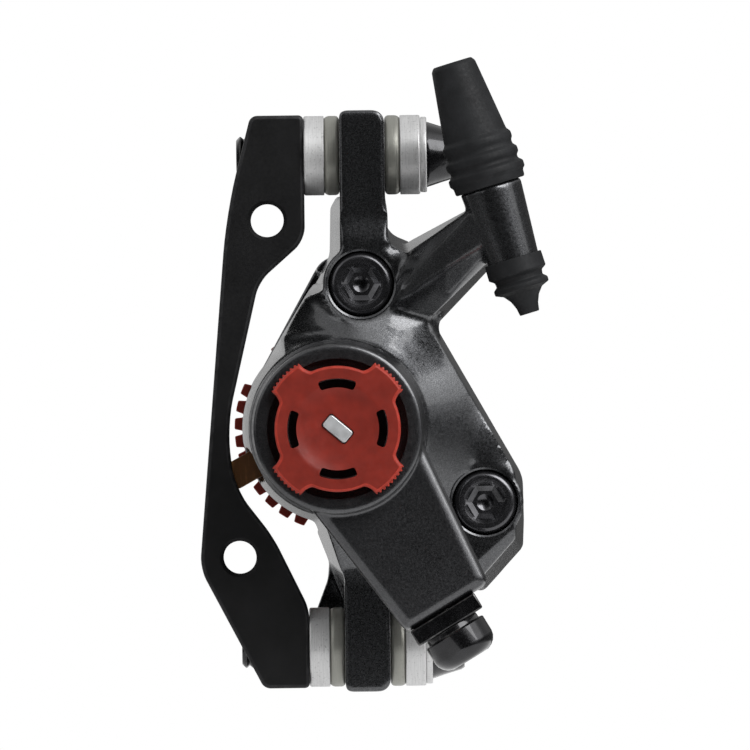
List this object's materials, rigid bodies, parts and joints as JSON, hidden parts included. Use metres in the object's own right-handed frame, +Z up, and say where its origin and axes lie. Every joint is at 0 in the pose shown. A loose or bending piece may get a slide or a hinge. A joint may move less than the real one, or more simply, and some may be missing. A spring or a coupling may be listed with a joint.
{
  "type": "bicycle disc brake caliper",
  "caption": "Cable-operated bicycle disc brake caliper on a frame adapter, with a swinging arm, ball-ramp drive and red pad adjusters.",
  "frame": {"origin": "midway between the two frame bolt holes, on the adapter's outboard face", "axes": "+X away from the wheel axle side, +Y in towards the wheel, +Z up along the adapter"},
  "size_m": [0.0529, 0.0601, 0.0954],
  "materials": {
    "casting_paint": "gloss charcoal paint with fine metal flake",
    "arm_paint": "satin charcoal paint with fine metal flake",
    "adapter_black": "satin black anodised",
    "bolt_black": "gloss black oxide",
    "washer_silver": "tumbled bright steel",
    "washer_grey": "grey zinc",
    "steel": "ground steel",
    "bronze": "sintered bronze",
    "rubber": "matt moulded rubber",
    "knob_red": "moulded red plastic",
    "cage_plastic": "moulded plastic",
    "pad_plate": "brown coated steel",
    "lining": "pressed friction compound"
  },
  "bodies": {
    "caliper": {"adapter_bracket": "adapter_black", "mount_bolts": "bolt_black", "flat_washers": "washer_silver", "concave_washers": "washer_silver", "convex_washers": "washer_grey", "outboard_body": "casting_paint", "cable_stop": "casting_paint", "inboard_body": "casting_paint", "body_bolts": "bolt_black", "housing_boot": "rubber", "cable_grommet": "rubber", "cam_bushing": "bronze", "cam_seal": "rubber", "thrust_washer": "steel", "ramp_keys": "steel", "return_spring": "steel", "pad_spring": "steel"},
    "arm": {"actuating_arm": "arm_paint", "drive_cam": "steel", "arm_nut": "steel", "cable_bolt": "bolt_black", "cable_clamp_plate": "bolt_black", "detent_ring": "steel"},
    "cage": {"ball_cage": "cage_plastic"},
    "balls": {"ramp_balls": "steel"},
    "ramp": {"pressure_ramp": "steel"},
    "outboard_pad": {"outboard_foot": "steel", "outboard_pad_plate": "pad_plate", "outboard_lining": "lining"},
    "spindle": {"adjuster_spindle": "steel"},
    "knob": {"outboard_knob": "knob_red"},
    "wheel": {"inboard_knob": "knob_red", "inboard_screw": "steel", "knob_clip": "steel", "knob_screw": "bolt_black"},
    "inboard_pad": {"inboard_foot": "steel", "inboard_pad_plate": "pad_plate", "inboard_lining": "lining"}
  },
  "joints": [
    {"name": "arm_pivot", "type": "hinge", "parent": "caliper", "child": "arm", "pos_m": [0.01267, 0, -0.0061], "axis": [0, -1, 0], "range_deg": [0, 45], "stiffness_Nm_per_rad": 0.12, "springref_deg": -40.11},
    {"name": "cage_roll", "type": "hinge", "parent": "caliper", "child": "cage", "pos_m": [0.01267, 0, -0.0061], "axis": [0, -1, 0], "range_deg": [0, 22.5]},
    {"name": "balls_climb", "type": "slide", "parent": "cage", "child": "balls", "axis": [0, 1, 0], "range_m": [0, 0.00055]},
    {"name": "ramp_advance", "type": "slide", "parent": "caliper", "child": "ramp", "axis": [0, 1, 0], "range_m": [0, 0.0011]},
    {"name": "outboard_pad_advance", "type": "slide", "parent": "ramp", "child": "outboard_pad", "axis": [0, 1, 0], "range_m": [0, 0.001]},
    {"name": "spindle_turn", "type": "hinge", "parent": "outboard_pad", "child": "spindle", "pos_m": [0.01267, 0, -0.0061], "axis": [0, 1, 0], "range_deg": [0, 360]},
    {"name": "outboard_knob_turn", "type": "hinge", "parent": "caliper", "child": "knob", "pos_m": [0.01267, 0, -0.0061], "axis": [0, 1, 0], "range_deg": [0, 360]},
    {"name": "inboard_wheel_turn", "type": "hinge", "parent": "caliper", "child": "wheel", "pos_m": [0.01267, 0, -0.0061], "axis": [0, -1, 0], "range_deg": [0, 540]},
    {"name": "inboard_pad_advance", "type": "slide", "parent": "caliper", "child": "inboard_pad", "axis": [0, -1, 0], "range_m": [0, 0.0015]}
  ],
  "couplings": [
    {"joint": "cage_roll", "follows": "arm_pivot", "ratio": 0.5},
    {"joint": "balls_climb", "follows": "arm_pivot", "m_per_rad": 0.00070028},
    {"joint": "ramp_advance", "follows": "arm_pivot", "m_per_rad": 0.0014006},
    {"joint": "outboard_knob_turn", "follows": "outboard_pad_advance", "rad_per_m": 6283},
    {"joint": "spindle_turn", "follows": "outboard_pad_advance", "rad_per_m": 6283},
    {"joint": "inboard_wheel_turn", "follows": "inboard_pad_advance", "rad_per_m": 6283}
  ]
}
